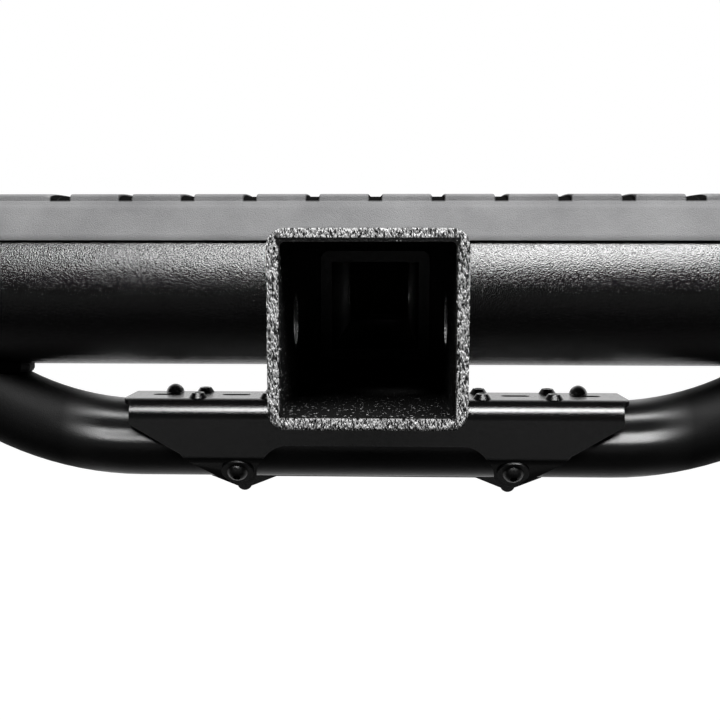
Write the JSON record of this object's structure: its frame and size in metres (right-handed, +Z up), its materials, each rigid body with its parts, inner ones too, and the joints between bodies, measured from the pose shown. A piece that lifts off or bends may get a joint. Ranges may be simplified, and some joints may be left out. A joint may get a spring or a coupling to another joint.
{
  "type": "hitch receiver step",
  "caption": "Step for a square towing receiver: a pass-through receiver tube, a round step bar with a moulded tread pad, and a bent lower rung with a folded grip tread.",
  "frame": {"origin": "hitch pin's axis at the middle of the shank", "axes": "+X along the hitch pin, to the right as seen from behind; +Y towards the vehicle; +Z up"},
  "size_m": [0.6582, 0.4246, 0.1512],
  "materials": {
    "receiver_steel": "rough cut mouth, textured black powder coat elsewhere",
    "black_steel": "textured black powder coat",
    "satin_steel": "satin black coat",
    "tread_steel": "fine textured dark coat",
    "grey_plastic": "fine grained mid-grey moulding",
    "black_plastic": "moulded black",
    "zinc": "dull zinc"
  },
  "bodies": {
    "root": {"receiver_tube": "receiver_steel", "hitch_shank": "black_steel", "shank_plug": "black_plastic", "main_tube": "black_steel", "end_cap_left": "black_plastic", "end_cap_right": "black_plastic", "step_pad": "grey_plastic", "pad_screws": "zinc", "lower_tube": "satin_steel", "tread_bracket": "tread_steel", "tread_screw_left": "satin_steel", "tread_screw_right": "satin_steel", "ear_screw_left": "satin_steel", "ear_screw_right": "satin_steel", "ear_washer_left": "zinc", "ear_washer_right": "zinc", "rivet_nut_left": "zinc", "rivet_nut_right": "zinc", "receiver_weld_rear": "black_steel", "receiver_weld_front": "black_steel", "shank_weld": "black_steel", "rung_weld_left": "satin_steel", "rung_weld_right": "satin_steel"}
  },
  "joints": []
}
